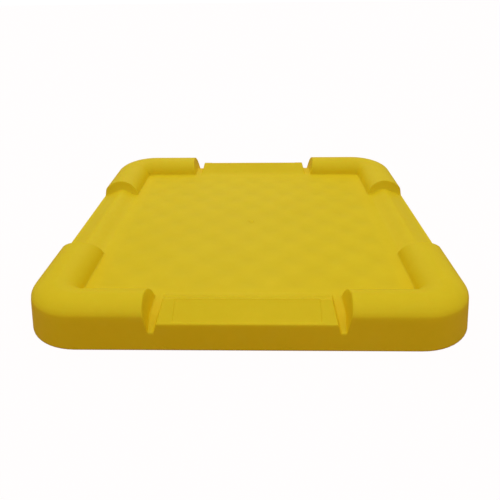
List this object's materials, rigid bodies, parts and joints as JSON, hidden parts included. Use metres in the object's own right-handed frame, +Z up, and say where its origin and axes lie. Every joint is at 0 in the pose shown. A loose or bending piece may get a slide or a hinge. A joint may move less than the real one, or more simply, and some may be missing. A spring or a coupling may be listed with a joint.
{
  "type": "spill containment pallet",
  "caption": "Low square containment pallet: a closed moulded deck with corner bolsters and end blocks lifts off a shallow sump with support posts and a screw-in drain plug at the back.",
  "frame": {"origin": "on the floor, under the centre of the pallet's plan", "axes": "+X to the right, +Y towards the side with the drain, +Z up"},
  "size_m": [1.6, 1.6, 0.161],
  "materials": {
    "deck_plastic": "satin moulded yellow polyethylene",
    "sump_plastic": "dark moulded polyethylene, satin",
    "post_plastic": "grey extruded pipe, satin",
    "fitting_plastic": "grey moulded polypropylene",
    "plug_plastic": "red moulded polypropylene",
    "seal_rubber": "black nitrile rubber, matt"
  },
  "bodies": {
    "sump": {"sump_basin": "sump_plastic", "support_post_r1_c1": "post_plastic", "support_post_r1_c2": "post_plastic", "support_post_r1_c3": "post_plastic", "support_post_r1_c4": "post_plastic", "support_post_r2_c1": "post_plastic", "support_post_r2_c2": "post_plastic", "support_post_r2_c3": "post_plastic", "support_post_r2_c4": "post_plastic", "support_post_r3_c1": "post_plastic", "support_post_r3_c2": "post_plastic", "support_post_r3_c3": "post_plastic", "support_post_r3_c4": "post_plastic", "support_post_r4_c1": "post_plastic", "support_post_r4_c2": "post_plastic", "support_post_r4_c3": "post_plastic", "support_post_r4_c4": "post_plastic", "drain_body": "fitting_plastic", "drain_gasket": "seal_rubber", "drain_locknut": "fitting_plastic"},
    "deck": {"deck_top_sheet": "deck_plastic", "deck_lower_sheet": "deck_plastic", "deck_vent_plug": "deck_plastic"},
    "seal_ring": {"drain_seal_ring": "seal_rubber"},
    "plug": {"drain_plug": "plug_plastic"}
  },
  "joints": [
    {"name": "deck_lift", "type": "slide", "parent": "sump", "child": "deck", "axis": [0, 0, 1], "range_m": [0, 0.25]},
    {"name": "plug_travel", "type": "slide", "parent": "sump", "child": "seal_ring", "axis": [0, 1, 0], "range_m": [0, 0.02177]},
    {"name": "plug_turn", "type": "hinge", "parent": "seal_ring", "child": "plug", "pos_m": [0, 0.742, 0.031], "axis": [0, 1, 0], "range_deg": [0, 4320]}
  ],
  "couplings": [
    {"joint": "plug_travel", "follows": "plug_turn", "m_per_rad": 0.0002887}
  ]
}
